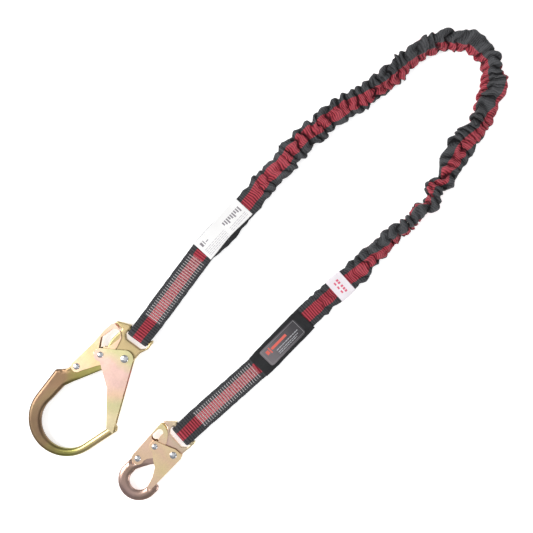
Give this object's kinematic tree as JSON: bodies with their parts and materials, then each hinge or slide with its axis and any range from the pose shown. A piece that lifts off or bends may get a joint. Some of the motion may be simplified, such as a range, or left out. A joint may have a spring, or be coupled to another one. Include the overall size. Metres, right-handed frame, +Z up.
{
  "type": "shock absorbing lanyard",
  "caption": "Shock absorbing lanyard: stretch webbing with a tear-out core, sewn ends, labels, a large rebar hook and a small double-locking snap hook with sprung gates.",
  "frame": {"origin": "on the floor, under the centre of the bounding box of the lanyard as it lies", "axes": "+Z up from the floor; +X from the two hooks towards the bend of the long U; +Y towards the leg with the rebar hook"},
  "size_m": [0.9339, 0.2463, 0.0403],
  "materials": {
    "webbing": "charcoal woven polyester with a red stripe",
    "core": "undyed woven strap",
    "elastic": "covered rubber elastic",
    "thread": "light grey polyester thread",
    "label_white": "matte coated label stock",
    "label_black": "black nylon cloth",
    "sleeve": "black nylon cloth",
    "patch": "glossy dark vinyl",
    "band": "matte white tape",
    "rebar_zinc": "yellow zinc plate with a rainbow sheen",
    "snap_zinc": "yellow zinc plate with a pink sheen",
    "rivet_steel": "bright zinc plate",
    "spring_steel": "oiled spring wire"
  },
  "bodies": {
    "webbing": {"stretch_jacket": "webbing", "core_strap": "core", "elastic_strap": "elastic", "rebar_end_loop": "webbing", "snap_end_loop": "webbing", "rebar_end_stitching": "thread", "snap_end_stitching": "thread", "warning_label": "label_white", "label_backing": "label_black", "label_sleeve": "sleeve", "sleeve_patch": "patch", "inspection_band": "band"},
    "rebar_hook": {"rebar_hook_body": "rebar_zinc", "rebar_gate_rivet": "rivet_steel", "rebar_lever_rivet": "rivet_steel"},
    "rebar_gate_unit": {"rebar_gate": "rebar_zinc", "rebar_catch_pin": "rivet_steel", "rebar_gate_spring": "spring_steel"},
    "rebar_lock_unit": {"rebar_lock_lever": "rebar_zinc", "rebar_lever_spring": "spring_steel"},
    "snap_hook": {"snap_hook_body": "snap_zinc", "snap_gate_rivet": "rivet_steel", "snap_lever_rivet": "rivet_steel"},
    "snap_gate_unit": {"snap_gate": "snap_zinc", "snap_catch_pin": "rivet_steel", "snap_gate_spring": "spring_steel"},
    "snap_lock_unit": {"snap_lock_lever": "snap_zinc", "snap_lever_spring": "spring_steel"}
  },
  "joints": [
    {"name": "rebar_hook_swing", "type": "hinge", "parent": "webbing", "child": "rebar_hook", "pos_m": [-0.237, 0.068, 0.01135], "axis": [0.1478, -0.989, 0], "range_deg": [-100, 100]},
    {"name": "rebar_gate_open", "type": "hinge", "parent": "rebar_hook", "child": "rebar_gate_unit", "pos_m": [-0.27718, 0.05947, 0.01135], "axis": [0, 0, -1], "range_deg": [0, 32], "stiffness_Nm_per_rad": 0.5, "springref_deg": -34.38},
    {"name": "rebar_lever_squeeze", "type": "hinge", "parent": "rebar_hook", "child": "rebar_lock_unit", "pos_m": [-0.33842, 0.1039, 0.01135], "axis": [0, 0, -1], "range_deg": [0, 8], "stiffness_Nm_per_rad": 0.3, "springref_deg": -28.65},
    {"name": "snap_hook_swing", "type": "hinge", "parent": "webbing", "child": "snap_hook", "pos_m": [-0.297, -0.088, 0.01035], "axis": [-0.061, -0.9981, 0], "range_deg": [-100, 100]},
    {"name": "snap_gate_open", "type": "hinge", "parent": "snap_hook", "child": "snap_gate_unit", "pos_m": [-0.32983, -0.10003, 0.01035], "axis": [0, 0, -1], "range_deg": [0, 18], "stiffness_Nm_per_rad": 0.3, "springref_deg": -34.38},
    {"name": "snap_lever_squeeze", "type": "hinge", "parent": "snap_hook", "child": "snap_lock_unit", "pos_m": [-0.37307, -0.0646, 0.01035], "axis": [0, 0, -1], "range_deg": [0, 6], "stiffness_Nm_per_rad": 0.2, "springref_deg": -28.65}
  ],
  "couplings": [
    {"joint": "rebar_lever_squeeze", "follows": "rebar_gate_open", "ratio": 0.25},
    {"joint": "snap_lever_squeeze", "follows": "snap_gate_open", "ratio": 0.3333}
  ]
}
